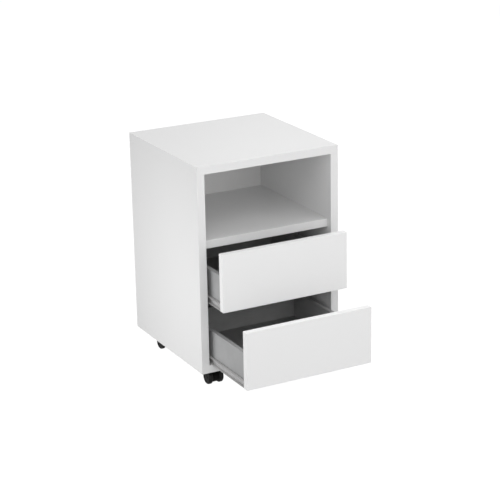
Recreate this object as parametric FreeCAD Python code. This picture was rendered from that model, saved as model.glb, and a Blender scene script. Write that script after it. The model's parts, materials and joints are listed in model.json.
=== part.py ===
"""Rolling pedestal cabinet: an open niche over two drawers, on four twin-wheel castors.

Millimetres. +Z is up, the drawers open towards -Y, and +X is to the right of someone who
faces the drawers. The origin is on the floor, under the centre of the carcass. The drawers
are modelled partly open: the lower one further than the upper one.
"""

import FreeCAD, Part
import os

# ---- carcass ----
WIDTH = 420.0
DEPTH = 415.0
CARCASS_HEIGHT = 571.0
BOARD = 22.0                 # thickness of the top, sides, bottom and shelf
DRAWER_BAY_HEIGHT = 319.5    # clear height from the bottom board to the shelf
SHELF_SETBACK = 20.0         # the shelf's front edge, behind the carcass's
BACK_THICK = 4.0
BACK_INSET = 16.0            # from the rear edges to the back panel
GROOVE_DEPTH = 8.0           # of the back panel's groove
GROOVE_PLAY = 0.1            # each side of a panel in its groove

# ---- drawers ----
FRONT_THICK = 18.0
FRONT_HEIGHT = 158.0
FRONT_SIDE_GAP = 2.0
FRONT_FLOOR_GAP = 3.5        # under the lower front
FINGER_GAP = 13.5            # between the two fronts
BOX_LENGTH = 368.0           # of a drawer side
BOX_HEIGHT = 90.0
BOX_BOARD = 12.0
BOX_BOTTOM_THICK = 3.0
BOX_BOTTOM_RISE = 12.0       # from a side's lower edge to the drawer bottom
BOX_GROOVE_DEPTH = 6.0
UPPER_OPENING = 85.5
LOWER_OPENING = 210.0

# ---- roller runners; across-sizes are measured from the carcass wall inwards,
# ---- heights from the lower edge of the drawer side ----
RUNNER_GAP = 12.5            # between a carcass wall and a drawer side
RUNNER_LENGTH = 350.0
RUNNER_SETBACK = 22.0        # from the carcass's front edges to the cabinet runner
SHEET = 1.0                  # steel thickness of both runners
CHANNEL_LIP = 10.2           # reach of the cabinet runner's lips
CHANNEL_BOTTOM = -2.1
CHANNEL_TOP = 19.5
RAIL_TOP = 17.0              # top of the drawer runner's outward lip
RAIL_LIP_START = 3.5         # free edge of the two outward lips
RAIL_LOWER_LIP = 0.5         # top of the lower outward lip
RAIL_BEND = 2.5              # outer radius of the upper lip's bend, next to the drawer side
RAIL_FLANGE = 10.0           # reach under the drawer side
ROLLER_START = 4.2
ROLLER_WIDTH = 6.0
FIXED_ROLLER_RADIUS = 7.0    # on the cabinet runner, between the drawer runner's lips
FIXED_ROLLER_INSET = 12.0    # from the cabinet runner's front end
MOVING_ROLLER_RADIUS = 9.5   # on the drawer runner, inside the cabinet runner
MOVING_ROLLER_INSET = 11.0   # from the drawer runner's rear end
ROLLING_GAP = 0.3            # between a roller and what it rolls on
RAIL_LIP_NOTCH = 2.0         # from the lips' end to the moving roller
PIN_RADIUS = 2.5
PIN_HEAD_RADIUS = 4.2
PIN_HEAD = 0.8
PIN_END_PLAY = 0.2
RUNNING_PLAY = 0.05          # radial, of every bore that turns on its pin
RUNNER_SCREW_INSETS = (45.0, 173.0, 301.0)

# ---- castors ----
CASTOR_HEIGHT = 52.0
CASTOR_INSET_X = 56.5        # from the carcass's side to the swivel axis
CASTOR_INSET_Y = 60.0        # from the carcass's front or back to the swivel axis
CASTOR_TRAIL = 12.0          # from the swivel axis forward to the wheel axle
WHEEL_RADIUS = 20.0
WHEEL_WIDTH = 13.5
WHEEL_GAP = 18.0             # between the two wheels
WHEEL_EDGE = 4.5             # rounding of the tread's edges
WHEEL_RIM_RADIUS = 14.5      # of the dish in a wheel's outer face
WHEEL_CAP_RADIUS = 5.5
WHEEL_DISH = 1.4
AXLE_RADIUS = 3.0
AXLE_REACH = 19.5            # from the middle of the castor to an axle end
PLATE_SIDE = 42.0
PLATE_THICK = 2.5
PLATE_CORNER = 5.0
PLATE_HOLE_REACH = 16.0
STEM_RADIUS = 4.0
STEM_LENGTH = 17.0
HOUSING_HALF_WIDTH = 8.0
HOUSING_DISC_RADIUS = 16.0   # round the axle, between the wheels
BOSS_RADIUS = 7.0            # round the stem
COLLAR_RADIUS = 17.0
COLLAR_HEIGHT = 4.5
COLLAR_GAP = 1.0             # between the collar and the plate
HOOD_INNER_RADIUS = 21.5
HOOD_THICK = 2.0
HOOD_HALF_WIDTH = 23.0
HOOD_FRONT_RISE = 14.0       # lower edge of the hood in front, over the axle
HOOD_REAR_RISE = 3.0         # the same behind

# ---- fasteners ----
DOWEL_RADIUS = 4.0
DOWEL_LENGTH = 34.0
DOWEL_IN_FACE = 12.0         # depth in the board whose face it enters
DOWEL_INSET = 55.0           # of the outer dowels, from the front and back edges
BOX_DOWEL_RADIUS = 3.0
BOX_DOWEL_LENGTH = 26.0
BOX_DOWEL_IN_FACE = 8.0
BOX_DOWEL_INSET = 20.0       # from the upper edge and above the drawer bottom
DOWEL_PLAY = 0.05
DOWEL_END_PLAY = 0.5
DOWEL_CHAMFER = 1.0
SCREW_RADIUS = 1.75
WALL_SCREW_LENGTH = 14.0
RAIL_SCREW_LENGTH = 11.0
SCREW_HEAD_RADIUS = 3.5
SCREW_HEAD = 1.4
FLAT_HEAD_RADIUS = 2.8       # of the countersunk screws
FLAT_HEAD = 1.8
CASTOR_SCREW_RADIUS = 2.0
CASTOR_SCREW_LENGTH = 16.0
CASTOR_SCREW_HEAD_RADIUS = 3.8
CASTOR_SCREW_HEAD = 2.0
SCREW_PLAY = 0.05
PLATE_HOLE_PLAY = 0.4

# ---- levels and faces that follow ----
CARCASS_BOTTOM = CASTOR_HEIGHT
CARCASS_TOP = CARCASS_BOTTOM + CARCASS_HEIGHT
FRONT_Y = -DEPTH / 2
REAR_Y = DEPTH / 2
BACK_PANEL_Y = REAR_Y - BACK_INSET - BACK_THICK
WALL_X = WIDTH / 2 - BOARD                   # inner face of a side panel
BOX_X = WALL_X - RUNNER_GAP                  # outer face of a drawer side
SHELF_BOTTOM = CARCASS_BOTTOM + BOARD + DRAWER_BAY_HEIGHT
BOX_FRONT_Y = FRONT_Y + FRONT_THICK          # closed drawer: rear face of its front
BOX_REAR_Y = BOX_FRONT_Y + BOX_LENGTH
LOWER_BASE = CARCASS_BOTTOM + BOARD + FRONT_FLOOR_GAP
UPPER_BASE = LOWER_BASE + FRONT_HEIGHT + FINGER_GAP
AXLE_Z = WHEEL_RADIUS

# drawer name: height of its lower edges, and how far it stands open
DRAWERS = {
    "upper": (UPPER_BASE, UPPER_OPENING),
    "lower": (LOWER_BASE, LOWER_OPENING),
}
SIDES = ("left", "right")


def vector(x, y, z):
    return FreeCAD.Vector(x, y, z)


def block(low, high):
    """An upright box between two corners."""
    size = [b - a for a, b in zip(low, high)]
    return Part.makeBox(*size, vector(*low))


def rod(start, direction, radius, length):
    return Part.makeCylinder(radius, length, vector(*start), vector(*direction))


def mirrored(shape):
    """The same shape on the other side of the cabinet."""
    return shape.mirror(vector(0, 0, 0), vector(1, 0, 0))


def on_side(shape, side):
    """A shape that is drawn on the left, put on the side that is asked for."""
    return shape if side == "left" else mirrored(shape)


def upright(edge):
    """Whether a straight edge runs along Z."""
    first, last = edge.Vertexes
    return first.X == last.X and first.Y == last.Y


def edges_along_y(shape, x, z):
    """The shape's edges that run along Y at this place."""
    return [
        edge
        for edge in shape.Edges
        if all(abs(v.X - x) + abs(v.Z - z) < Part.Precision.confusion() for v in edge.Vertexes)
    ]


def both_sides(shapes):
    return list(shapes) + [mirrored(shape) for shape in shapes]


def opened(shape, opening):
    """A closed drawer's shape, pulled out of the cabinet."""
    return shape.translated(vector(0, -opening, 0))


def fused(first, *others):
    return first.fuse(list(others)).removeSplitter()


def save(node, *solids):
    shape = solids[0] if len(solids) == 1 else Part.makeCompound(list(solids))
    shape.exportStep(os.path.join("parts", node + ".step"))


# ---- fasteners ----

def dowel(start, direction, radius, length):
    """A wooden dowel with both ends chamfered."""
    pin = rod(start, direction, radius, length)
    ends = [edge for edge in pin.Edges if edge.Closed]
    return pin.makeChamfer(DOWEL_CHAMFER, ends)


def dowel_hole(start, direction, radius, length):
    """The two blind holes, end to end, that one dowel fills."""
    first = vector(*start) - vector(*direction) * DOWEL_END_PLAY
    return rod(tuple(first), direction, radius + DOWEL_PLAY, length + 2 * DOWEL_END_PLAY)


def carcass_dowel_places():
    """Start point and direction of each dowel on the left side."""
    edge_x = -(WIDTH - BOARD) / 2
    in_edge = DOWEL_LENGTH - DOWEL_IN_FACE
    top_start = CARCASS_TOP - BOARD - in_edge
    bottom_start = CARCASS_BOTTOM + BOARD - DOWEL_IN_FACE
    places = []
    for y in (FRONT_Y + DOWEL_INSET, 0, REAR_Y - DOWEL_INSET):
        places.append(((edge_x, y, top_start), (0, 0, 1)))
        places.append(((edge_x, y, bottom_start), (0, 0, 1)))
    for y in (FRONT_Y + SHELF_SETBACK + DOWEL_INSET, REAR_Y - BACK_INSET - DOWEL_INSET):
        start = (-WALL_X - DOWEL_IN_FACE, y, SHELF_BOTTOM + BOARD / 2)
        places.append((start, (1, 0, 0)))
    return places


def carcass_dowels(make):
    left = [make(*place, DOWEL_RADIUS, DOWEL_LENGTH) for place in carcass_dowel_places()]
    return both_sides(left)


def box_dowel_places(base):
    """Start point and direction of each dowel in the left side of a closed drawer."""
    middle_x = -BOX_X + BOX_BOARD / 2
    inner_x = -BOX_X + BOX_BOARD - BOX_DOWEL_IN_FACE
    low = base + BOX_BOTTOM_RISE + BOX_BOTTOM_THICK + BOX_DOWEL_INSET
    high = base + BOX_HEIGHT - BOX_DOWEL_INSET
    places = []
    for z in (low, high):
        places.append(((middle_x, BOX_FRONT_Y - BOX_DOWEL_IN_FACE, z), (0, 1, 0)))
        places.append(((inner_x, BOX_REAR_Y - BOX_BOARD / 2, z), (1, 0, 0)))
    return places


def box_dowels(base, make):
    left = [
        make(*place, BOX_DOWEL_RADIUS, BOX_DOWEL_LENGTH) for place in box_dowel_places(base)
    ]
    return both_sides(left)


def pan_head_screw(under_head, direction, radius, length, head_radius, head):
    """A screw whose head's seat is at under_head, and whose shank goes along direction."""
    shank = rod(under_head, direction, radius, length)
    back = tuple(-a for a in direction)
    return fused(shank, rod(under_head, back, head_radius, head))


def countersunk_screw(face, grow=0.0):
    """An upright screw whose flat head is flush at face. With grow, the hole it sits in."""
    x, y, z = face
    head = Part.makeCone(
        FLAT_HEAD_RADIUS + grow,
        SCREW_RADIUS + grow,
        FLAT_HEAD,
        vector(x, y, z),
        vector(0, 0, 1),
    )
    shank = rod((x, y, z), (0, 0, 1), SCREW_RADIUS + grow, RAIL_SCREW_LENGTH + grow)
    return fused(head, shank)


def cabinet_screw_places(base):
    """Where the left cabinet runner is screwed to the carcass, under the screw heads."""
    z = base + (CHANNEL_BOTTOM + CHANNEL_TOP) / 2
    front = FRONT_Y + RUNNER_SETBACK
    return [(-WALL_X + SHEET, front + inset, z) for inset in RUNNER_SCREW_INSETS]


def cabinet_screws(base):
    return [
        pan_head_screw(
            place, (-1, 0, 0), SCREW_RADIUS, WALL_SCREW_LENGTH, SCREW_HEAD_RADIUS, SCREW_HEAD
        )
        for place in cabinet_screw_places(base)
    ]


def cabinet_screw_holes():
    """Pilot holes in the left side panel, which run on through the runner's web."""
    return [
        rod(place, (-1, 0, 0), SCREW_RADIUS + SCREW_PLAY, WALL_SCREW_LENGTH + SCREW_PLAY)
        for base, _ in DRAWERS.values()
        for place in cabinet_screw_places(base)
    ]


def drawer_screw_places(base):
    """Where the left drawer runner is screwed up into the drawer side."""
    x = -BOX_X + BOX_BOARD / 2
    return [(x, BOX_FRONT_Y + inset, base - SHEET) for inset in RUNNER_SCREW_INSETS]


# ---- carcass ----

def back_panel():
    reach_x = WALL_X + GROOVE_DEPTH - GROOVE_PLAY
    low = CARCASS_BOTTOM + BOARD - GROOVE_DEPTH + GROOVE_PLAY
    high = CARCASS_TOP - BOARD + GROOVE_DEPTH - GROOVE_PLAY
    return block((-reach_x, BACK_PANEL_Y, low), (reach_x, BACK_PANEL_Y + BACK_THICK, high))


def back_groove():
    """The room that the top, the bottom and the sides leave for the back panel."""
    reach_x = WALL_X + GROOVE_DEPTH
    near = BACK_PANEL_Y - GROOVE_PLAY
    far = BACK_PANEL_Y + BACK_THICK + GROOVE_PLAY
    low = CARCASS_BOTTOM + BOARD - GROOVE_DEPTH
    high = CARCASS_TOP - BOARD + GROOVE_DEPTH
    return block((-reach_x, near, low), (reach_x, far, high))


def horizontal_board(low, high):
    """The top or the bottom board, full size, with its groove and dowel holes."""
    board = block((-WIDTH / 2, FRONT_Y, low), (WIDTH / 2, REAR_Y, high))
    return board.cut([back_groove(), *carcass_dowels(dowel_hole)])


def bottom_board():
    board = horizontal_board(CARCASS_BOTTOM, CARCASS_BOTTOM + BOARD)
    return board.cut(castor_screw_holes())


def side_board(side):
    low = CARCASS_BOTTOM + BOARD
    high = CARCASS_TOP - BOARD
    board = block((-WIDTH / 2, FRONT_Y, low), (-WALL_X, REAR_Y, high))
    drilled = board.cut(
        [back_groove(), *carcass_dowels(dowel_hole), *cabinet_screw_holes()]
    )
    return on_side(drilled, side)


def shelf():
    near = FRONT_Y + SHELF_SETBACK
    low = (-WALL_X, near, SHELF_BOTTOM)
    high = (WALL_X, BACK_PANEL_Y, SHELF_BOTTOM + BOARD)
    return block(low, high).cut(carcass_dowels(dowel_hole))


def save_carcass():
    save("top_panel", horizontal_board(CARCASS_TOP - BOARD, CARCASS_TOP))
    save("bottom_panel", bottom_board())
    for side in SIDES:
        save(f"{side}_side_panel", side_board(side))
    save("niche_shelf", shelf())
    save("back_panel", back_panel())
    save("carcass_dowels", *carcass_dowels(dowel))


# ---- drawers, drawn closed ----

def drawer_bottom(base):
    reach_x = BOX_X - BOX_BOARD + BOX_GROOVE_DEPTH - GROOVE_PLAY
    near = BOX_FRONT_Y - BOX_GROOVE_DEPTH + GROOVE_PLAY
    far = BOX_REAR_Y - BOX_BOARD + BOX_GROOVE_DEPTH - GROOVE_PLAY
    low = base + BOX_BOTTOM_RISE
    return block((-reach_x, near, low), (reach_x, far, low + BOX_BOTTOM_THICK))


def drawer_groove(base):
    """The room that the front, sides and back leave for the drawer bottom."""
    reach_x = BOX_X - BOX_BOARD + BOX_GROOVE_DEPTH
    near = BOX_FRONT_Y - BOX_GROOVE_DEPTH
    far = BOX_REAR_Y - BOX_BOARD + BOX_GROOVE_DEPTH
    low = base + BOX_BOTTOM_RISE - GROOVE_PLAY
    high = base + BOX_BOTTOM_RISE + BOX_BOTTOM_THICK + GROOVE_PLAY
    return block((-reach_x, near, low), (reach_x, far, high))


def drawer_front(base):
    reach_x = WALL_X - FRONT_SIDE_GAP
    board = block((-reach_x, FRONT_Y, base), (reach_x, BOX_FRONT_Y, base + FRONT_HEIGHT))
    return board.cut([drawer_groove(base), *box_dowels(base, dowel_hole)])


def drawer_side(base, side):
    low = (-BOX_X, BOX_FRONT_Y, base)
    high = (-BOX_X + BOX_BOARD, BOX_REAR_Y, base + BOX_HEIGHT)
    screw_holes = [
        countersunk_screw(place, SCREW_PLAY) for place in drawer_screw_places(base)
    ]
    board = block(low, high).cut(
        [drawer_groove(base), *box_dowels(base, dowel_hole), *screw_holes]
    )
    return on_side(board, side)


def drawer_back(base):
    inner_x = BOX_X - BOX_BOARD
    low = (-inner_x, BOX_REAR_Y - BOX_BOARD, base)
    high = (inner_x, BOX_REAR_Y, base + BOX_HEIGHT)
    return block(low, high).cut([drawer_groove(base), *box_dowels(base, dowel_hole)])


def save_drawer(name, base, opening):
    prefix = f"{name}_drawer_"
    save(prefix + "front", opened(drawer_front(base), opening))
    for side in SIDES:
        save(f"{prefix}{side}_side", opened(drawer_side(base, side), opening))
    save(prefix + "back", opened(drawer_back(base), opening))
    save(prefix + "bottom", opened(drawer_bottom(base), opening))
    dowels = box_dowels(base, dowel)
    save(prefix + "dowels", *[opened(pin, opening) for pin in dowels])


# ---- roller runners, drawn on the left ----

def cabinet_runner(base):
    """A C-shaped channel on the carcass wall, with the front roller's riveted pin."""
    near = FRONT_Y + RUNNER_SETBACK
    far = near + RUNNER_LENGTH
    low = base + CHANNEL_BOTTOM
    high = base + CHANNEL_TOP
    lip_x = -WALL_X + CHANNEL_LIP
    outer = block((-WALL_X, near, low), (lip_x, far, high))
    hollow = block((-WALL_X + SHEET, near, low + SHEET), (lip_x, far, high - SHEET))
    holes = [
        rod(place, (-1, 0, 0), SCREW_RADIUS + SCREW_PLAY, SHEET)
        for place in cabinet_screw_places(base)
    ]
    channel = outer.cut([hollow, *holes])
    _, pin_y, pin_z = fixed_roller_centre(base)
    pin_length = ROLLER_START + ROLLER_WIDTH + PIN_END_PLAY - SHEET
    pin = rod((-WALL_X + SHEET, pin_y, pin_z), (1, 0, 0), PIN_RADIUS, pin_length)
    head_x = -WALL_X + SHEET + pin_length
    head = rod((head_x, pin_y, pin_z), (1, 0, 0), PIN_HEAD_RADIUS, PIN_HEAD)
    return fused(channel, pin, head)


def bent_lip(near, far, top):
    """The drawer runner's upper lip with its bend, which leaves a furrow by the drawer side."""
    lip_x = -WALL_X + RAIL_LIP_START
    low = top - 2 * RAIL_BEND
    outer = block((lip_x, near, low), (-BOX_X, far, top))
    inner = block((lip_x, near, low), (-BOX_X - SHEET, far, top - SHEET))
    outer = outer.makeFillet(RAIL_BEND, edges_along_y(outer, -BOX_X, top))
    inner_edge = edges_along_y(inner, -BOX_X - SHEET, top - SHEET)
    return outer.cut(inner.makeFillet(RAIL_BEND - SHEET, inner_edge))


def drawer_runner(base):
    """A rail round the drawer side's lower edge, open outwards, with the rear roller's pin."""
    near = BOX_FRONT_Y
    far = near + RUNNER_LENGTH
    web_x = -BOX_X - SHEET
    roller_x, pin_y, pin_z = moving_roller_centre(base)
    lip_end = pin_y - MOVING_ROLLER_RADIUS - RAIL_LIP_NOTCH
    web = block((web_x, near, base - SHEET), (-BOX_X, far, base + RAIL_TOP - RAIL_BEND))
    flange = block((web_x, near, base - SHEET), (-BOX_X + RAIL_FLANGE, far, base))
    upper_lip = bent_lip(near, lip_end, base + RAIL_TOP)
    lower_lip = block(
        (-WALL_X + RAIL_LIP_START, near, base + RAIL_LOWER_LIP - SHEET),
        (-BOX_X, lip_end, base + RAIL_LOWER_LIP),
    )
    pin_end = roller_x - ROLLER_WIDTH / 2 - PIN_END_PLAY
    pin = rod((web_x, pin_y, pin_z), (-1, 0, 0), PIN_RADIUS, web_x - pin_end)
    head = rod((pin_end, pin_y, pin_z), (-1, 0, 0), PIN_HEAD_RADIUS, PIN_HEAD)
    rail = fused(web, flange, upper_lip, lower_lip, pin, head)
    holes = [countersunk_screw(place, SCREW_PLAY) for place in drawer_screw_places(base)]
    return rail.cut(holes)


def roller_x():
    return -WALL_X + ROLLER_START + ROLLER_WIDTH / 2


def fixed_roller_centre(base):
    """Under the drawer runner's upper lip, near the cabinet runner's front end."""
    y = FRONT_Y + RUNNER_SETBACK + FIXED_ROLLER_INSET
    z = base + RAIL_TOP - SHEET - ROLLING_GAP - FIXED_ROLLER_RADIUS
    return (roller_x(), y, z)


def moving_roller_centre(base):
    """On the cabinet runner's lower lip, near the drawer runner's rear end."""
    y = BOX_FRONT_Y + RUNNER_LENGTH - MOVING_ROLLER_INSET
    z = base + CHANNEL_BOTTOM + SHEET + ROLLING_GAP + MOVING_ROLLER_RADIUS
    return (roller_x(), y, z)


def roller(centre, radius):
    x, y, z = centre
    start = (x - ROLLER_WIDTH / 2, y, z)
    body = rod(start, (1, 0, 0), radius, ROLLER_WIDTH)
    return body.cut(rod(start, (1, 0, 0), PIN_RADIUS + RUNNING_PLAY, ROLLER_WIDTH))


def save_runners(name, base, opening):
    rail_screws = both_sides([countersunk_screw(p) for p in drawer_screw_places(base)])
    fixed_roller = roller(fixed_roller_centre(base), FIXED_ROLLER_RADIUS)
    moving_roller = roller(moving_roller_centre(base), MOVING_ROLLER_RADIUS)
    for side in SIDES:
        save(f"{name}_cabinet_runner_{side}", on_side(cabinet_runner(base), side))
        save(f"{name}_cabinet_roller_{side}", on_side(fixed_roller, side))
        rail = opened(drawer_runner(base), opening)
        save(f"{name}_drawer_runner_{side}", on_side(rail, side))
        save(f"{name}_drawer_roller_{side}", on_side(opened(moving_roller, opening), side))
    save(f"{name}_drawer_runner_screws", *[opened(s, opening) for s in rail_screws])


def save_wall_screws():
    left = [screw for base, _ in DRAWERS.values() for screw in cabinet_screws(base)]
    save("cabinet_runner_screws", *both_sides(left))


# ---- castors, drawn with the swivel axis on the Z axis ----

def castor_screw_offsets():
    reach = PLATE_HOLE_REACH
    return [(x, y) for x in (-reach, reach) for y in (-reach, reach)]


def castor_plate():
    """A steel plate with rounded corners and a pin riveted to its middle."""
    half = PLATE_SIDE / 2
    low = CARCASS_BOTTOM - PLATE_THICK
    plate = block((-half, -half, low), (half, half, CARCASS_BOTTOM))
    plate = plate.makeFillet(PLATE_CORNER, [e for e in plate.Edges if upright(e)])
    hole_radius = CASTOR_SCREW_RADIUS + PLATE_HOLE_PLAY
    holes = [
        rod((x, y, low), (0, 0, 1), hole_radius, PLATE_THICK)
        for x, y in castor_screw_offsets()
    ]
    stem = rod((0, 0, low - STEM_LENGTH), (0, 0, 1), STEM_RADIUS, STEM_LENGTH)
    return fused(plate.cut(holes), stem)


def hood():
    """A curved guard over both wheels, lower behind than in front."""
    start = (-HOOD_HALF_WIDTH, -CASTOR_TRAIL, AXLE_Z)
    length = 2 * HOOD_HALF_WIDTH
    outer_radius = HOOD_INNER_RADIUS + HOOD_THICK
    tube = rod(start, (1, 0, 0), outer_radius, length).cut(
        rod(start, (1, 0, 0), HOOD_INNER_RADIUS, length)
    )
    past = outer_radius + HOOD_THICK
    past_x = HOOD_HALF_WIDTH + HOOD_THICK
    front_cut = block(
        (-past_x, -CASTOR_TRAIL - past, AXLE_Z - past),
        (past_x, -CASTOR_TRAIL, AXLE_Z + HOOD_FRONT_RISE),
    )
    rear_cut = block(
        (-past_x, -CASTOR_TRAIL, AXLE_Z - past),
        (past_x, -CASTOR_TRAIL + past, AXLE_Z + HOOD_REAR_RISE),
    )
    return tube.cut([front_cut, rear_cut])


def castor_housing():
    """The swivelling nylon body: disc, web, swivel boss, collar and hood in one piece."""
    half = HOUSING_HALF_WIDTH
    collar_top = CARCASS_BOTTOM - PLATE_THICK - COLLAR_GAP
    collar_low = collar_top - COLLAR_HEIGHT
    disc_start = (-half, -CASTOR_TRAIL, AXLE_Z)
    disc = rod(disc_start, (1, 0, 0), HOUSING_DISC_RADIUS, 2 * half)
    web = block(disc_start, (half, 0, collar_low))
    swivel_boss = rod((0, 0, AXLE_Z), (0, 0, 1), BOSS_RADIUS, collar_top - AXLE_Z)
    collar = rod((0, 0, collar_low), (0, 0, 1), COLLAR_RADIUS, COLLAR_HEIGHT)
    body = fused(web, disc, swivel_boss, collar, hood())
    stem_end = CARCASS_BOTTOM - PLATE_THICK - STEM_LENGTH
    stem_bore = rod(
        (0, 0, stem_end - COLLAR_GAP),
        (0, 0, 1),
        STEM_RADIUS + RUNNING_PLAY,
        collar_top - stem_end + COLLAR_GAP,
    )
    axle_bore = rod(disc_start, (1, 0, 0), AXLE_RADIUS, 2 * half)
    return body.cut([stem_bore, axle_bore])


def castor_axle():
    return rod(
        (-AXLE_REACH, -CASTOR_TRAIL, AXLE_Z), (1, 0, 0), AXLE_RADIUS, 2 * AXLE_REACH
    )


def left_wheel():
    """A rounded wheel with a dished outer face round a raised cap, and a blind bore."""
    inner_x = -WHEEL_GAP / 2
    outer_x = inner_x - WHEEL_WIDTH
    axis = (1, 0, 0)
    disc = rod((outer_x, -CASTOR_TRAIL, AXLE_Z), axis, WHEEL_RADIUS, WHEEL_WIDTH)
    disc = disc.makeFillet(WHEEL_EDGE, [e for e in disc.Edges if e.Closed])
    dish_start = (outer_x, -CASTOR_TRAIL, AXLE_Z)
    dish = rod(dish_start, axis, WHEEL_RIM_RADIUS, WHEEL_DISH).cut(
        rod(dish_start, axis, WHEEL_CAP_RADIUS, WHEEL_DISH)
    )
    bore_start = (-AXLE_REACH - RUNNING_PLAY, -CASTOR_TRAIL, AXLE_Z)
    bore = rod(bore_start, axis, AXLE_RADIUS + RUNNING_PLAY, AXLE_REACH)
    return disc.cut([dish, bore])


def castor_screw(x, y):
    seat = (x, y, CARCASS_BOTTOM - PLATE_THICK)
    return pan_head_screw(
        seat,
        (0, 0, 1),
        CASTOR_SCREW_RADIUS,
        CASTOR_SCREW_LENGTH,
        CASTOR_SCREW_HEAD_RADIUS,
        CASTOR_SCREW_HEAD,
    )


def castor_places():
    """Name and swivel axis of each castor."""
    x = WIDTH / 2 - CASTOR_INSET_X
    y = DEPTH / 2 - CASTOR_INSET_Y
    return {
        "front_left": (-x, -y),
        "front_right": (x, -y),
        "rear_left": (-x, y),
        "rear_right": (x, y),
    }


def castor_screw_places():
    return [
        (x + dx, y + dy)
        for x, y in castor_places().values()
        for dx, dy in castor_screw_offsets()
    ]


def castor_screw_holes():
    """Pilot holes in the bottom board."""
    depth = CASTOR_SCREW_LENGTH - PLATE_THICK + SCREW_PLAY
    return [
        rod((x, y, CARCASS_BOTTOM), (0, 0, 1), CASTOR_SCREW_RADIUS + SCREW_PLAY, depth)
        for x, y in castor_screw_places()
    ]


def save_castors():
    pieces = {
        "plate": castor_plate(),
        "housing": castor_housing(),
        "axle": castor_axle(),
        "left_wheel": left_wheel(),
        "right_wheel": mirrored(left_wheel()),
    }
    for place, (x, y) in castor_places().items():
        for piece, shape in pieces.items():
            save(f"{place}_castor_{piece}", shape.translated(vector(x, y, 0)))
    save("castor_screws", *[castor_screw(x, y) for x, y in castor_screw_places()])


def main():
    os.makedirs("parts", exist_ok=True)
    save_carcass()
    for name, (base, opening) in DRAWERS.items():
        save_drawer(name, base, opening)
        save_runners(name, base, opening)
    save_wall_screws()
    save_castors()


main()
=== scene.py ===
"""The looks of a rolling pedestal cabinet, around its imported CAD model.

Metres. +Z is up, the drawers open towards -Y, and the floor is at z = 0. The CAD nodes keep
their shapes and get softened edges and materials; wheels and screws are rebuilt with the
detail that their plain solids leave out.
"""

import json
import math

import bmesh
import bpy
from mathutils import Matrix, Vector


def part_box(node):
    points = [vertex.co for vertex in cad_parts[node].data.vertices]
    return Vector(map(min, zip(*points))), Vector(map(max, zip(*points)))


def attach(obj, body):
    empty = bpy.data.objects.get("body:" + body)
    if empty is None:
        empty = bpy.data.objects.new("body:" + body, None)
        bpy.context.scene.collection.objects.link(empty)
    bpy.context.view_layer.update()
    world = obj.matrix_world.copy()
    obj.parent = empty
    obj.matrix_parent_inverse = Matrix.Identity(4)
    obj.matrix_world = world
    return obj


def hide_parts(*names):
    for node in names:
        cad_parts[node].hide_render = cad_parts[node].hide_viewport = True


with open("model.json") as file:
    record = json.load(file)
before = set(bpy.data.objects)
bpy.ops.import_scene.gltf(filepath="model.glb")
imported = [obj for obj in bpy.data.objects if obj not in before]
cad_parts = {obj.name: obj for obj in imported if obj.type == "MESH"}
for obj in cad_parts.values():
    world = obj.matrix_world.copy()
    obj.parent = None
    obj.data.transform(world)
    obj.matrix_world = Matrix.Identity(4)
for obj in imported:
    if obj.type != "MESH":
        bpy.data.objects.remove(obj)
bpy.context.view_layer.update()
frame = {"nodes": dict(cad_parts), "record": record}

MM = 0.001

# ---- camera: it looks down a little at the left front corner ----
CAMERA_YAW = math.radians(27.77)      # of the look direction, from +Y towards +X
CAMERA_PITCH = math.radians(18.67)    # of the look direction, below the horizon
CAMERA_ROLL = math.radians(-1.11)
CAMERA_DISTANCE = 4.690
CAMERA_LENS = 122.4
SENSOR = 36.0
AIM_OFFSET = Vector((0.0339, -0.0294, -0.0303))   # from the middle of the carcass

# ---- light ----
SKY_STRENGTH = 0.37      # of the studio above the horizon
BOUNCE_STRENGTH = 0.54   # of what comes up from the ground
HORIZON_BLEND = 0.15     # half the height over which one passes into the other
FLOOR_SIZE = 40.0
FAR_SOFTBOX = (3.0, 2.0)     # distance from the middle of the carcass, and side length
NEAR_SOFTBOX = (0.9, 0.5)
# name: the direction it stands in, its distance and side, and its power in watts
SOFTBOXES = {
    "overhead": ((0, 0, 1), FAR_SOFTBOX, 35.0),
    "front": ((0.1, -1.0, 0.15), FAR_SOFTBOX, 20.0),
    "front_left": ((-0.5, -0.8, 0.6), FAR_SOFTBOX, 19.0),
    "front_right": ((0.55, -0.75, 0.75), FAR_SOFTBOX, 12.0),
    "back_right": ((0.6, 0.6, 0.6), FAR_SOFTBOX, 9.0),
    "left_near": ((-1.0, -0.15, -0.1), NEAR_SOFTBOX, 2.7),
}

# ---- softened edges ----
BOARD_EDGE = 0.2 * MM
FRONT_EDGE = 0.4 * MM
SHEET_EDGE = 0.2 * MM
SMALL_EDGE = 0.3 * MM
CASTOR_EDGE = 0.3 * MM
SHARP_ANGLE = math.radians(32)      # between two faces of a rebuilt piece, for a crease
ROUNDED_ANGLE = math.radians(40)    # between two faces of a CAD node, for a softened edge
FLAT_ANGLE = math.radians(0.5)      # below it two facets are one flat face
EDGE_SEGMENTS = 2
JOIN_DISTANCE = 0.001 * MM

# ---- turned wheels; the sizes repeat the CAD's where it has them ----
WHEEL_SEGMENTS = 96
ROUND_STEPS = 6                     # in a quarter round
TREAD_EDGE = 4.5 * MM
WHEEL_BORE = 3.05 * MM
BORE_WALL = 2.95 * MM               # from the blind bore's end to the outer face
BORE_CHAMFER = 0.4 * MM
INNER_RING = (6.5 * MM, 6.1 * MM, 5.2 * MM, 4.8 * MM)   # a groove, measured from the tread
INNER_RING_DEPTH = 0.5 * MM
DISH_DEPTH = 1.4 * MM
RIB_DEPTH = 1.1 * MM                # of the low rib in the dish, under the outer face

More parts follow.
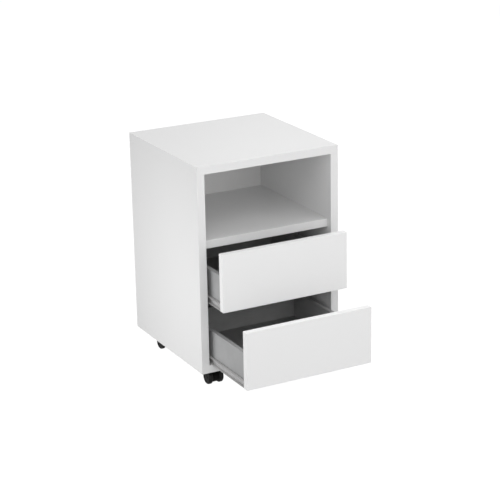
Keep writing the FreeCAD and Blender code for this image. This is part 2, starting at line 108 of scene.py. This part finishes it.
# ---- screws; the sizes repeat the CAD's ----
SCREW_SEGMENTS = 24
THREAD_PITCH = 1.4 * MM
THREAD_ROOT = 0.74                  # these four are shares of a shank's radius or length
NECK_RADIUS = 0.86
TIP_RADIUS = 0.35
PLAIN_SHARE = 0.12                  # the plain neck, and the taper at the tip
FLAT_HEAD = 1.8 * MM                # height of a countersunk head
RECESS_REACH = 1.6 * MM             # of a cross recess, at most half the head's radius
PLATE_HOLE_REACH = 16 * MM
PLATE_THICK = 2.5 * MM
SHEET = 1.0 * MM
RUNNER_SCREW_INSETS = (45 * MM, 173 * MM, 301 * MM)
# radius, length, head radius and head height; a height of 0 is a flush flat head
CASTOR_SCREW = (2.0 * MM, 16 * MM, 3.8 * MM, 2.0 * MM)
WALL_SCREW = (1.75 * MM, 14 * MM, 3.5 * MM, 1.4 * MM)
RAIL_SCREW = (1.75 * MM, 11 * MM, 2.8 * MM, 0)
RAIL_SCREW_INSET = 4.0 * MM
DRAWERS = ("upper", "lower")
SIDES = {"left": -1, "right": 1}


# ---------------------------------------------------------------- shader building blocks

def start_material(name, **values):
    """A Principled material, with plain values set on the shader's own sockets."""
    material = bpy.data.materials.new(name)
    material.use_nodes = True
    shader = material.node_tree.nodes["Principled BSDF"]
    for socket, value in values.items():
        shader.inputs[socket.replace("_", " ")].default_value = value
    return material, material.node_tree, shader


def add(tree, kind, **settings):
    node = tree.nodes.new(kind)
    for key, value in settings.items():
        setattr(node, key, value)
    return node


def coordinates(tree, stretch=(1, 1, 1)):
    """The piece's own coordinates, in metres, squeezed along an axis for a grain."""
    source = add(tree, "ShaderNodeTexCoord")
    mapping = add(tree, "ShaderNodeMapping")
    mapping.inputs["Scale"].default_value = stretch
    tree.links.new(source.outputs["Object"], mapping.inputs["Vector"])
    return mapping.outputs["Vector"]


def noise(tree, place, feature, detail=2.0, roughness=0.5):
    """Cloudy noise whose features are about that many metres across."""
    node = add(tree, "ShaderNodeTexNoise")
    node.inputs["Scale"].default_value = 1 / feature
    node.inputs["Detail"].default_value = detail
    node.inputs["Roughness"].default_value = roughness
    tree.links.new(place, node.inputs["Vector"])
    return node.outputs["Fac"]


def cells(tree, place, feature):
    """Soft rounded cells, as in powder coat and moulded grain."""
    node = add(tree, "ShaderNodeTexVoronoi", feature="SMOOTH_F1")
    node.inputs["Scale"].default_value = 1 / feature
    node.inputs["Smoothness"].default_value = 0.6
    tree.links.new(place, node.inputs["Vector"])
    return node.outputs["Distance"]


def remap(tree, value, low, high, from_low=0.3, from_high=0.7):
    node = add(tree, "ShaderNodeMapRange", interpolation_type="SMOOTHSTEP")
    node.inputs["From Min"].default_value = from_low
    node.inputs["From Max"].default_value = from_high
    node.inputs["To Min"].default_value = low
    node.inputs["To Max"].default_value = high
    tree.links.new(value, node.inputs["Value"])
    return node.outputs["Result"]


def combine(tree, operation, first, second):
    node = add(tree, "ShaderNodeMath", operation=operation)
    for socket, value in zip(node.inputs, (first, second)):
        if isinstance(value, (int, float)):
            socket.default_value = value
        else:
            tree.links.new(value, socket)
    return node.outputs["Value"]


def blend_colours(tree, factor, first, second):
    """Two colours, or colour sockets, mixed by a factor."""
    node = add(tree, "ShaderNodeMix", data_type="RGBA")
    tree.links.new(factor, node.inputs["Factor"])
    for socket, colour in ((node.inputs[6], first), (node.inputs[7], second)):
        if isinstance(colour, tuple):
            socket.default_value = (*colour, 1)
        else:
            tree.links.new(colour, socket)
    return node.outputs[2]


def bump(tree, shader, height, depth):
    """Relief of that many metres, stacked on what is already there."""
    node = add(tree, "ShaderNodeBump")
    node.inputs["Strength"].default_value = 1.0
    node.inputs["Distance"].default_value = depth
    tree.links.new(height, node.inputs["Height"])
    target = shader.inputs["Normal"]
    if target.is_linked:
        tree.links.new(target.links[0].from_socket, node.inputs["Normal"])
    tree.links.new(node.outputs["Normal"], target)


def grey(level, warmth=0.0):
    """A near-neutral colour; warmth tips it from blue towards yellow."""
    return (level * (1 + warmth), level, level * (1 - warmth))


# ---------------------------------------------------------------- materials

def board_finish(name, level, rough, peel, peel_depth):
    """A pressed decor surface: a fine speckle, a pearl relief and uneven sheen."""
    material, tree, shader = start_material(name)
    place = coordinates(tree)
    clouds = noise(tree, place, 0.120, 2)
    speckle = noise(tree, place, 0.0010, 2)
    cloudy = blend_colours(
        tree, remap(tree, clouds, 0, 1, 0.2, 0.8), grey(level * 0.997), grey(level * 1.003)
    )
    colour = blend_colours(
        tree, remap(tree, speckle, 0, 0.6, 0.58, 0.75), cloudy, grey(level * 0.96)
    )
    tree.links.new(colour, shader.inputs["Base Color"])
    sheen = remap(tree, noise(tree, place, 0.090, 2), rough - 0.01, rough + 0.01)
    tree.links.new(sheen, shader.inputs["Roughness"])
    bump(tree, shader, cells(tree, place, peel), peel_depth)
    bump(tree, shader, noise(tree, place, peel * 0.4, 2), peel_depth * 0.4)
    return material


def grained_foil(name, level, rough, stretch, depth=0.00002):
    """Foil with a fine straight grain along one axis."""
    material, tree, shader = start_material(name)
    grain = noise(tree, coordinates(tree, stretch), 0.0011, 3, 0.6)
    clouds = noise(tree, coordinates(tree), 0.050, 2)
    mixed = combine(tree, "MULTIPLY", combine(tree, "ADD", grain, clouds), 0.5)
    colour = blend_colours(
        tree,
        remap(tree, mixed, 0, 1, 0.36, 0.64),
        grey(level * 0.93, -0.006),
        grey(level * 1.07, -0.006),
    )
    tree.links.new(colour, shader.inputs["Base Color"])
    tree.links.new(remap(tree, grain, rough - 0.06, rough + 0.06), shader.inputs["Roughness"])
    bump(tree, shader, grain, depth)
    return material


def hardboard(name, level, warmth):
    """Lacquered wood fibre: short tangled fibres and faint darker flecks."""
    material, tree, shader = start_material(name)
    place = coordinates(tree)
    fibre = noise(tree, coordinates(tree, (1, 1, 2.5)), 0.0016, 4, 0.65)
    flecks = noise(tree, place, 0.0045, 2)
    shade = blend_colours(
        tree,
        remap(tree, fibre, 0, 1, 0.35, 0.65),
        grey(level * 0.955, warmth),
        grey(level * 1.025, warmth),
    )
    colour = blend_colours(
        tree, remap(tree, flecks, 0, 0.5, 0.66, 0.78), shade, grey(level * 0.86, warmth)
    )
    tree.links.new(colour, shader.inputs["Base Color"])
    tree.links.new(remap(tree, fibre, 0.50, 0.64), shader.inputs["Roughness"])
    bump(tree, shader, fibre, 0.00004)
    return material


def beech_wood():
    """Raw beech with fibres along the dowel and short dark rays."""
    material, tree, shader = start_material("beech_raw")
    fibre = noise(tree, coordinates(tree, (1, 1, 0.15)), 0.0012, 4, 0.6)
    rays = noise(tree, coordinates(tree, (3, 3, 0.8)), 0.0015, 2)
    wood = blend_colours(
        tree, remap(tree, fibre, 0, 1), (0.52, 0.34, 0.20), (0.74, 0.55, 0.36)
    )
    colour = blend_colours(
        tree, remap(tree, rays, 0, 0.7, 0.60, 0.72), wood, (0.40, 0.23, 0.12)
    )
    tree.links.new(colour, shader.inputs["Base Color"])
    tree.links.new(remap(tree, fibre, 0.55, 0.72), shader.inputs["Roughness"])
    bump(tree, shader, fibre, 0.00008)
    return material


def powder_coat():
    """Baked powder on folded steel: an orange-peel skin with tiny pits."""
    material, tree, shader = start_material("runner_powder_coat")
    place = coordinates(tree)
    peel = cells(tree, place, 0.0016)
    pits = noise(tree, place, 0.0005, 2)
    clouds = noise(tree, place, 0.040, 3)
    colour = blend_colours(
        tree, remap(tree, clouds, 0, 1), grey(0.46, 0.005), grey(0.52, 0.005)
    )
    tree.links.new(colour, shader.inputs["Base Color"])
    tree.links.new(remap(tree, pits, 0.30, 0.42), shader.inputs["Roughness"])
    bump(tree, shader, peel, 0.00006)
    bump(tree, shader, pits, 0.00001)
    return material


def roller_plastic():
    """Natural nylon: milky, slightly uneven, with a soft shine."""
    material, tree, shader = start_material("roller_natural_nylon", Subsurface_Weight=0.15)
    shader.inputs["Subsurface Radius"].default_value = (0.002, 0.002, 0.0015)
    place = coordinates(tree)
    milk = noise(tree, place, 0.004, 3)
    colour = blend_colours(
        tree, remap(tree, milk, 0, 1), (0.74, 0.73, 0.68), (0.84, 0.83, 0.79)
    )
    tree.links.new(colour, shader.inputs["Base Color"])
    tree.links.new(remap(tree, milk, 0.28, 0.42), shader.inputs["Roughness"])
    bump(tree, shader, noise(tree, place, 0.0008, 2), 0.00002)
    return material


def moulded_black(name, level, shine, rough, grain, depth):
    """Black nylon with a moulded grain and a trace of dust in it."""
    material, tree, shader = start_material(name, Specular_IOR_Level=shine)
    place = coordinates(tree)
    pebble = cells(tree, place, grain)
    dust = noise(tree, place, 0.010, 4)
    colour = blend_colours(
        tree, remap(tree, dust, 0, 1, 0.35, 0.75), grey(level), grey(level * 1.8, 0.03)
    )
    tree.links.new(colour, shader.inputs["Base Color"])
    tree.links.new(remap(tree, dust, rough - 0.07, rough + 0.09), shader.inputs["Roughness"])
    bump(tree, shader, pebble, depth)
    return material


def zinc_plate():
    """Bright zinc: cloudy crystals and fine drawing marks."""
    material, tree, shader = start_material("zinc_plated_steel", Metallic=1.0)
    place = coordinates(tree)
    clouds = cells(tree, place, 0.0035)
    marks = noise(tree, coordinates(tree, (1, 6, 1)), 0.0009, 3)
    colour = blend_colours(
        tree, remap(tree, clouds, 0, 1, 0.1, 0.7), (0.56, 0.57, 0.57), (0.70, 0.70, 0.68)
    )
    tree.links.new(colour, shader.inputs["Base Color"])
    tree.links.new(remap(tree, marks, 0.26, 0.44), shader.inputs["Roughness"])
    bump(tree, shader, marks, 0.00001)
    return material


def floor_finish():
    """Plain white paper, lit through, with the faintest clouds."""
    material, tree, shader = start_material(
        "floor_pale", Roughness=0.9, Specular_IOR_Level=0.0, Emission_Strength=1.0
    )
    clouds = noise(tree, coordinates(tree), 0.8, 3)
    paper = remap(tree, clouds, 0, 1)
    tree.links.new(
        blend_colours(tree, paper, grey(0.10), grey(0.14)), shader.inputs["Base Color"]
    )
    tree.links.new(
        blend_colours(tree, paper, grey(0.97), grey(1.0)), shader.inputs["Emission Color"]
    )
    return material


# the grain of the drawer sides runs along Y and that of the drawer back along X
ALONG_X = (0.04, 1, 1)
ALONG_Y = (1, 0.04, 1)

FINISHES = {
    "white_melamine": board_finish("melamine_white", 0.80, 0.42, 0.0012, 0.00003),
    "front_lacquer": board_finish("front_foil_white", 0.88, 0.30, 0.0018, 0.00002),
    "white_hardboard": hardboard("hardboard_white", 0.76, 0.004),
    "grey_foil": grained_foil("drawer_foil_grey", 0.36, 0.42, ALONG_Y),
    "dark_hardboard": hardboard("hardboard_grey", 0.26, 0.0),
    "beech": beech_wood(),
    "runner_enamel": powder_coat(),
    "roller_nylon": roller_plastic(),
    # the castor body and wheel levels sit below black nylon's own tone: painted shade that stands
    # in for the shadow the cabinet would cast on the floor around its castors
    "castor_nylon": moulded_black("castor_body_nylon_painted_shade", 0.003, 0.08, 0.50, 0.0009, 0.00005),
    "castor_wheel_nylon": moulded_black(
        "castor_wheel_nylon_satin_painted_shade", 0.009, 0.15, 0.40, 0.0006, 0.00001
    ),
    "zinc_steel": zinc_plate(),
}
BACK_FOIL = grained_foil("drawer_foil_grey_back", 0.36, 0.42, ALONG_X)


# ---------------------------------------------------------------- CAD nodes

def clean_shading():
    """A node group that joins a mesh's split points and shades it smooth."""
    group = bpy.data.node_groups.new("join_points_and_smooth", "GeometryNodeTree")
    for direction in ("INPUT", "OUTPUT"):
        group.interface.new_socket("Geometry", in_out=direction, socket_type="NodeSocketGeometry")
    source = group.nodes.new("NodeGroupInput")
    merge = group.nodes.new("GeometryNodeMergeByDistance")
    merge.inputs["Distance"].default_value = JOIN_DISTANCE
    forget = group.nodes.new("GeometryNodeRemoveAttribute")
    forget.inputs["Name"].default_value = "custom_normal"
    smooth = group.nodes.new("GeometryNodeSetShadeSmooth")
    target = group.nodes.new("NodeGroupOutput")
    chain = (source, forget, merge, smooth, target)
    for before, after in zip(chain, chain[1:]):
        group.links.new(before.outputs["Geometry"], after.inputs["Geometry"])
    return group


JOIN_AND_SMOOTH = clean_shading()


def soften(piece, width):
    """Rounds a piece's sharp edges and gives its flat faces true normals."""
    join = piece.modifiers.new("join", "NODES")
    join.node_group = JOIN_AND_SMOOTH
    flat = piece.modifiers.new("flat_faces", "DECIMATE")
    flat.decimate_type = "DISSOLVE"
    flat.angle_limit = FLAT_ANGLE
    edge = piece.modifiers.new("edges", "BEVEL")
    edge.width = width
    edge.segments = EDGE_SEGMENTS
    edge.limit_method = "ANGLE"
    edge.angle_limit = ROUNDED_ANGLE
    edge.use_clamp_overlap = False
    edge.miter_outer = "MITER_ARC"
    normals = piece.modifiers.new("normals", "WEIGHTED_NORMAL")
    normals.keep_sharp = True
    normals.weight = 100


def edge_width(node, slot):
    """How far a node's edges are rounded, by what it is made of."""
    if node.endswith("drawer_front"):
        return FRONT_EDGE
    by_slot = {
        "white_melamine": BOARD_EDGE,
        "grey_foil": BOARD_EDGE,
        "white_hardboard": SMALL_EDGE,
        "dark_hardboard": SMALL_EDGE,
        "runner_enamel": SHEET_EDGE,
        "roller_nylon": SMALL_EDGE,
        "castor_nylon": CASTOR_EDGE,
        "zinc_steel": SHEET_EDGE,
    }
    return by_slot.get(slot)


def finish_cad_nodes():
    slots = {part["node"]: part["material_slot"] for part in frame["record"]["subparts"]}
    for node, piece in frame["nodes"].items():
        if node.endswith(("_wheel", "_screws")):
            continue
        slot = slots[node]
        finish = BACK_FOIL if node.endswith("drawer_back") else FINISHES[slot]
        piece.material_slots[0].material = finish
        width = edge_width(node, slot)
        if width:
            soften(piece, width)


# ---------------------------------------------------------------- rebuilt pieces

def new_piece(name, grid, slot, body, replaced):
    """A mesh piece in world coordinates that rides on a body and stands for CAD nodes."""
    bmesh.ops.recalc_face_normals(grid, faces=grid.faces)
    mesh = bpy.data.meshes.new(name)
    grid.to_mesh(mesh)
    grid.free()
    mesh.shade_smooth()
    mesh.set_sharp_from_angle(angle=SHARP_ANGLE)
    mesh.materials.append(FINISHES[slot])
    piece = bpy.data.objects.new(name, mesh)
    bpy.context.scene.collection.objects.link(piece)
    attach(piece, body)
    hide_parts(*replaced)
    return piece


def placed(start, direction):
    """A matrix that takes the +Z axis to a direction from a starting point."""
    turn = Vector(direction).to_track_quat("Z", "Y").to_matrix().to_4x4()
    return Matrix.Translation(start) @ turn


def add_lathe(grid, profile, place, segments):
    """Turns (height, radius) points about the place's own axis; a zero radius is a pole."""
    rings = []
    for height, radius in profile:
        if radius == 0:
            rings.append([grid.verts.new(place @ Vector((0, 0, height)))])
            continue
        angles = (math.tau * step / segments for step in range(segments))
        rings.append([
            grid.verts.new(place @ Vector((radius * math.cos(a), radius * math.sin(a), height)))
            for a in angles
        ])
    for low, high in zip(rings, rings[1:]):
        for step in range(segments):
            after = (step + 1) % segments
            corners = [low[step % len(low)], low[after % len(low)],
                       high[after % len(high)], high[step % len(high)]]
            grid.faces.new(list(dict.fromkeys(corners)))
    return rings


def tread_edge(height, radius, height_side):
    """Points of a quarter round between a flat face and the tread, face first."""
    points = []
    for step in range(ROUND_STEPS + 1):
        angle = math.pi / 2 * step / ROUND_STEPS
        points.append((
            height + height_side * TREAD_EDGE * (1 - math.cos(angle)),
            radius - TREAD_EDGE * (1 - math.sin(angle)),
        ))
    return points


def wheel_profile(face, radius):
    """A castor wheel from its blind bore over the tread to the dished outer face."""
    ring_start, ring_low, ring_high, ring_end = INNER_RING
    dish = face - DISH_DEPTH
    rib = face - RIB_DEPTH
    inner_side = [
        (face - BORE_WALL, 0),
        (face - BORE_WALL, WHEEL_BORE),
        (BORE_CHAMFER, WHEEL_BORE),
        (0, WHEEL_BORE + BORE_CHAMFER),
        (0, radius - ring_start),
        (INNER_RING_DEPTH, radius - ring_low),
        (INNER_RING_DEPTH, radius - ring_high),
        (0, radius - ring_end),
    ]
    dish_with_rib = [
        (face, 14.9 * MM),
        (face - 0.15 * MM, 14.6 * MM),
        (face - 1.25 * MM, 14.1 * MM),
        (dish, 13.8 * MM),
        (dish, 11.2 * MM),
        (rib, 10.9 * MM),
        (rib, 10.3 * MM),
        (dish, 10.0 * MM),
        (dish, 5.9 * MM),
    ]
    cap = [
        (face - 1.2 * MM, 5.6 * MM),
        (face - 0.3 * MM, 5.4 * MM),
        (face, 5.0 * MM),
        (face, 2.2 * MM),
        (face - 0.3 * MM, 1.8 * MM),
        (face - 0.4 * MM, 0),
    ]
    tread = [*tread_edge(0, radius, 1), *reversed(tread_edge(face, radius, -1))]
    return inner_side + tread + dish_with_rib + cap


def build_wheels():
    for node in frame["nodes"]:
        if not node.endswith("_wheel"):
            continue
        low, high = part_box(node)
        middle = (low + high) / 2
        outward = -1 if "_left_wheel" in node else 1
        inner_x = high.x if outward < 0 else low.x
        place = placed((inner_x, middle.y, middle.z), (outward, 0, 0))
        grid = bmesh.new()
        profile = wheel_profile(high.x - low.x, (high.z - low.z) / 2)
        add_lathe(grid, profile, place, WHEEL_SEGMENTS)
        new_piece(f"{node}_turned", grid, "castor_wheel_nylon", node, [node])


def cross_outline(reach, half_width):
    """The twelve corners of a cross, counter-clockwise from its +X arm."""
    arm = [(reach, -half_width), (reach, half_width), (half_width, half_width)]
    corners = []
    for _ in range(4):
        corners += arm
        arm = [(-y, x) for x, y in arm]
    return corners


def add_cross_head(grid, rim, place, height, depth, reach, half_width):
    """Closes the flat top of a screw head, inside its rim, with a tapered cross recess."""
    mouth = [grid.verts.new(place @ Vector((x, y, height)))
             for x, y in cross_outline(reach, half_width)]
    floor = [grid.verts.new(place @ Vector((x, y, height + depth)))
             for x, y in cross_outline(reach * 0.5, half_width * 0.7)]
    edges = []
    for loop in (rim, mouth):
        for first, second in zip(loop, loop[1:] + loop[:1]):
            edges.append(grid.edges.get((first, second)) or grid.edges.new((first, second)))
    bmesh.ops.triangle_fill(grid, use_beauty=True, edges=edges)
    for step in range(len(mouth)):
        after = (step + 1) % len(mouth)
        grid.faces.new((mouth[step], mouth[after], floor[after], floor[step]))
    grid.faces.new(floor)


def thread(start, end, radius):
    """Zigzag rings from a plain neck to a blunt tip."""
    neck = start + (end - start) * PLAIN_SHARE
    tip = end - (end - start) * PLAIN_SHARE
    turns = max(4, round((tip - neck) / THREAD_PITCH))
    pitch = (tip - neck) / turns
    points = [(start, radius * NECK_RADIUS), (neck, radius * NECK_RADIUS)]
    for turn in range(turns):
        points.append((neck + pitch * (turn + 0.5), radius))
        points.append((neck + pitch * (turn + 1), radius * THREAD_ROOT))
    points += [(end, radius * TIP_RADIUS), (end, 0)]
    return points


def add_screw(grid, seat, direction, radius, length, head_radius, head):
    """A head with a cross recess on a threaded shank: a pan head, or a flush one at head 0."""
    place = placed(seat, direction)
    if head:
        crown = [
            (-head, head_radius * 0.70),
            (-head * 0.88, head_radius * 0.88),
            (-head * 0.58, head_radius * 0.97),
            (-head * 0.25, head_radius),
            (0, head_radius),
        ]
        top = -head
    else:
        crown = [
            (0, head_radius * 0.92),
            (0.15 * MM, head_radius),
            (0.3 * MM, head_radius * 0.99),
            (FLAT_HEAD, radius),
        ]
        top = 0
    shank_start = 0 if head else FLAT_HEAD
    shank = thread(shank_start, length, radius)
    rings = add_lathe(grid, crown + shank, place, SCREW_SEGMENTS)
    recess = min(head_radius * 0.5, RECESS_REACH)
    add_cross_head(
        grid, rings[0], place, top, recess * 0.6, recess, head_radius * 0.11
    )


def build_castor_screws():
    grid = bmesh.new()
    for node in frame["nodes"]:
        if not node.endswith("_castor_plate"):
            continue
        low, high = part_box(node)
        middle = (low + high) / 2
        for dx in (-PLATE_HOLE_REACH, PLATE_HOLE_REACH):
            for dy in (-PLATE_HOLE_REACH, PLATE_HOLE_REACH):
                seat = (middle.x + dx, middle.y + dy, high.z - PLATE_THICK)
                add_screw(grid, seat, (0, 0, 1), *CASTOR_SCREW)
    new_piece("castor_screws_crosshead", grid, "zinc_steel", "carcass", ["castor_screws"])


def build_wall_screws():
    grid = bmesh.new()
    for drawer in DRAWERS:
        for side, outward in SIDES.items():
            low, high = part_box(f"{drawer}_cabinet_runner_{side}")
            web_x = low.x + SHEET if outward < 0 else high.x - SHEET
            for inset in RUNNER_SCREW_INSETS:
                seat = (web_x, low.y + inset, (low.z + high.z) / 2)
                add_screw(grid, seat, (outward, 0, 0), *WALL_SCREW)
    new_piece(
        "runner_screws_crosshead", grid, "zinc_steel", "carcass", ["cabinet_runner_screws"]
    )


def build_rail_screws():
    for drawer in DRAWERS:
        grid = bmesh.new()
        for side, outward in SIDES.items():
            low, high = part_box(f"{drawer}_drawer_runner_{side}")
            inner_x = high.x if outward < 0 else low.x
            for inset in RUNNER_SCREW_INSETS:
                seat = (inner_x + outward * RAIL_SCREW_INSET, low.y + inset, low.z)
                add_screw(grid, seat, (0, 0, 1), *RAIL_SCREW)
        node = f"{drawer}_drawer_runner_screws"
        new_piece(f"{node}_crosshead", grid, "zinc_steel", f"{drawer}_drawer", [node])


# ---------------------------------------------------------------- surroundings

def build_floor():
    mesh = bpy.data.meshes.new("floor")
    grid = bmesh.new()
    bmesh.ops.create_grid(grid, x_segments=8, y_segments=8, size=FLOOR_SIZE / 2)
    grid.to_mesh(mesh)
    grid.free()
    floor = bpy.data.objects.new("floor", mesh)
    floor.data.materials.append(floor_finish())
    # only the camera sees the sheet; the light from below comes from the world's lower half
    floor.visible_diffuse = False
    floor.visible_glossy = False
    floor.visible_transmission = False
    floor.visible_shadow = False
    bpy.context.scene.collection.objects.link(floor)


def build_world():
    world = bpy.data.worlds.new("studio")
    world.use_nodes = True
    tree = world.node_tree
    lit = tree.nodes["Background"]
    lit.inputs["Color"].default_value = (1, 1, 1, 1)
    direction = add(tree, "ShaderNodeSeparateXYZ")
    tree.links.new(add(tree, "ShaderNodeTexCoord").outputs["Generated"], direction.inputs[0])
    strength = remap(
        tree,
        direction.outputs["Z"],
        BOUNCE_STRENGTH,
        SKY_STRENGTH,
        -HORIZON_BLEND,
        HORIZON_BLEND,
    )
    tree.links.new(strength, lit.inputs["Strength"])
    seen = add(tree, "ShaderNodeBackground")
    seen.inputs["Color"].default_value = (1, 1, 1, 1)
    path = add(tree, "ShaderNodeLightPath")
    choose = add(tree, "ShaderNodeMixShader")
    tree.links.new(path.outputs["Is Camera Ray"], choose.inputs["Fac"])
    tree.links.new(lit.outputs["Background"], choose.inputs[1])
    tree.links.new(seen.outputs["Background"], choose.inputs[2])
    tree.links.new(choose.outputs["Shader"], tree.nodes["World Output"].inputs["Surface"])
    bpy.context.scene.world = world


def softbox(name, direction, distance, size, power):
    """A square area light that looks at the middle of the cabinet."""
    light = bpy.data.lights.new(name, "AREA")
    light.shape = "SQUARE"
    light.size = size
    light.energy = power
    lamp = bpy.data.objects.new(name, light)
    away = Vector(direction).normalized()
    lamp.location = carcass_middle() + away * distance
    lamp.rotation_mode = "QUATERNION"
    lamp.rotation_quaternion = away.to_track_quat("Z", "Y")
    bpy.context.scene.collection.objects.link(lamp)
    return lamp


def carcass_middle():
    low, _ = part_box("bottom_panel")
    _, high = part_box("top_panel")
    return (low + high) / 2


def build_lights():
    for name, (direction, (distance, side), power) in SOFTBOXES.items():
        softbox(name, direction, distance, side, power)


def build_camera():
    data = bpy.data.cameras.new("camera")
    data.sensor_width = SENSOR
    data.lens = CAMERA_LENS
    data.clip_start = 0.1
    data.clip_end = 100
    camera = bpy.data.objects.new("camera", data)
    look = Vector((
        math.sin(CAMERA_YAW) * math.cos(CAMERA_PITCH),
        math.cos(CAMERA_YAW) * math.cos(CAMERA_PITCH),
        -math.sin(CAMERA_PITCH),
    ))
    camera.location = carcass_middle() + AIM_OFFSET - look * CAMERA_DISTANCE
    camera.rotation_mode = "QUATERNION"
    level = look.to_track_quat("-Z", "Y").to_matrix()
    camera.rotation_quaternion = (level @ Matrix.Rotation(CAMERA_ROLL, 3, "Z")).to_quaternion()
    bpy.context.scene.collection.objects.link(camera)
    bpy.context.scene.camera = camera


finish_cad_nodes()
build_wheels()
build_castor_screws()
build_wall_screws()
build_rail_screws()
build_floor()
build_world()
build_lights()
build_camera()
bpy.context.scene.view_settings.view_transform = "Standard"

bpy.context.view_layer.update()
